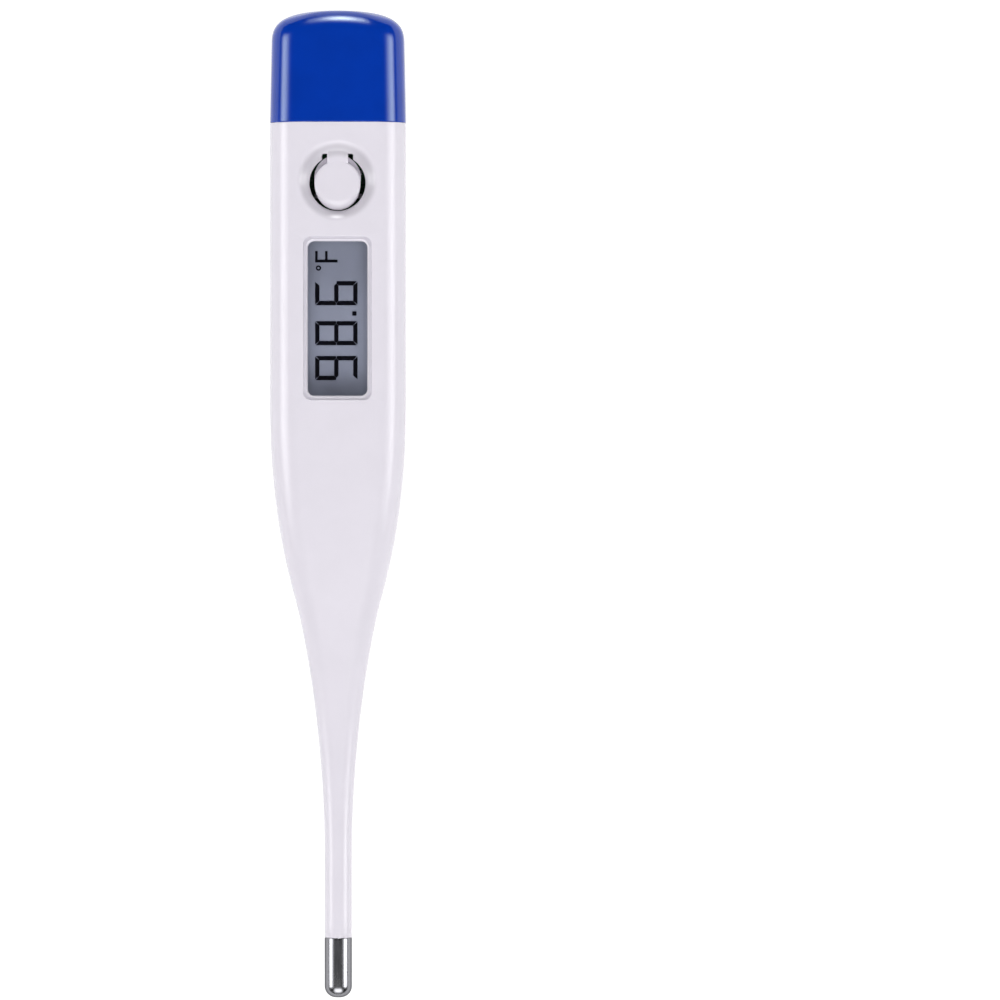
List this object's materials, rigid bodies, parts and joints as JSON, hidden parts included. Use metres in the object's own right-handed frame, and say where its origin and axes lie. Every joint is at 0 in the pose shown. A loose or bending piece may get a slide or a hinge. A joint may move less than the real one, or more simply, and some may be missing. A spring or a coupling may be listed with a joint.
{
  "type": "digital thermometer",
  "caption": "Slim digital clinical thermometer with a white tapered case, blue pull-off battery cover, liquid-crystal window, tongue button and steel probe tip.",
  "frame": {"origin": "centre of the whole body's box, at the height of the flat back it rests on", "axes": "+Y along the body towards the battery cover, -Y towards the probe, +Z out of the display face, +X across"},
  "size_m": [0.0176, 0.127, 0.0105],
  "materials": {
    "housing_plastic": "semi-gloss white ABS",
    "cover_plastic": "glossy blue ABS",
    "clear_window": "clear acrylic insert",
    "display_glass": "display glass",
    "polariser_film": "polariser film",
    "reflector_film": "grey reflector film",
    "segment_ink": "dark liquid-crystal bars",
    "frame_plastic": "moulded white frame",
    "conductive_rubber": "striped conductive rubber",
    "silicone": "plain silicone",
    "tip_steel": "polished stainless steel",
    "potting_resin": "heat-conducting resin",
    "bead_glass": "dipped thermistor bead",
    "lead_enamel": "red enamelled wire",
    "sleeve_film": "insulating sleeve",
    "board_laminate": "green solder mask on glass-fibre laminate",
    "chip_black": "black epoxy",
    "capacitor_ceramic": "tan ceramic",
    "solder": "solder",
    "switch_plastic": "black nylon",
    "plunger_plastic": "red nylon",
    "spring_steel": "stainless spring strip",
    "tinned_steel": "tinned steel",
    "buzzer_brass": "brass disc",
    "buzzer_ceramic_white": "silvered ceramic",
    "foam": "adhesive foam",
    "cell_steel": "nickel-plated steel",
    "cell_gasket": "nylon gasket",
    "cell_paste": "packed electrode paste"
  },
  "bodies": {
    "housing": {"housing": "housing_plastic", "display_window": "clear_window", "probe_tip": "tip_steel", "tip_potting": "potting_resin", "thermistor_bead": "bead_glass", "thermistor_leads": "lead_enamel", "insulating_sleeve": "sleeve_film"},
    "cover": {"battery_cover": "cover_plastic"},
    "module": {"circuit_board": "board_laminate", "lcd_front_glass": "display_glass", "lcd_rear_glass": "display_glass", "front_polariser": "polariser_film", "rear_reflector": "reflector_film", "lcd_segments": "segment_ink", "lcd_frame": "frame_plastic", "zebra_strip": "conductive_rubber", "support_strip": "silicone", "chip_encapsulant": "chip_black", "chip_resistors": "chip_black", "chip_capacitors": "capacitor_ceramic", "solder_joints": "solder", "switch_base": "switch_plastic", "switch_leads": "tinned_steel", "switch_dome": "spring_steel", "switch_cover": "tinned_steel", "buzzer_plate": "buzzer_brass", "buzzer_ceramic": "buzzer_ceramic_white", "buzzer_ring": "foam", "buzzer_wires": "lead_enamel", "battery_tray": "frame_plastic", "negative_contact": "spring_steel", "positive_contact": "spring_steel", "battery_can": "cell_steel", "battery_gasket": "cell_gasket", "battery_cap": "cell_steel", "battery_filling": "cell_paste"},
    "button": {"power_button": "housing_plastic"},
    "plunger": {"switch_plunger": "plunger_plastic"}
  },
  "joints": [
    {"name": "cover_slide", "type": "slide", "parent": "housing", "child": "cover", "axis": [0, 1, 0], "range_m": [0, 0.03]},
    {"name": "module_slide", "type": "slide", "parent": "housing", "child": "module", "axis": [0, 1, 0], "range_m": [0, 0.01], "deforming": ["thermistor_leads"]},
    {"name": "button_flex", "type": "hinge", "parent": "housing", "child": "button", "pos_m": [0, 0.0453, 0.009], "axis": [1, 0, 0], "range_deg": [0, 4], "stiffness_Nm_per_rad": 0.1},
    {"name": "plunger_slide", "type": "slide", "parent": "module", "child": "plunger", "axis": [0, 0, -1], "range_m": [0, 0.0003], "deforming": ["switch_dome"]}
  ],
  "couplings": [
    {"joint": "module_slide", "follows": "cover_slide", "ratio": 0.33333},
    {"joint": "plunger_slide", "follows": "button_flex", "m_per_rad": 0.004}
  ]
}
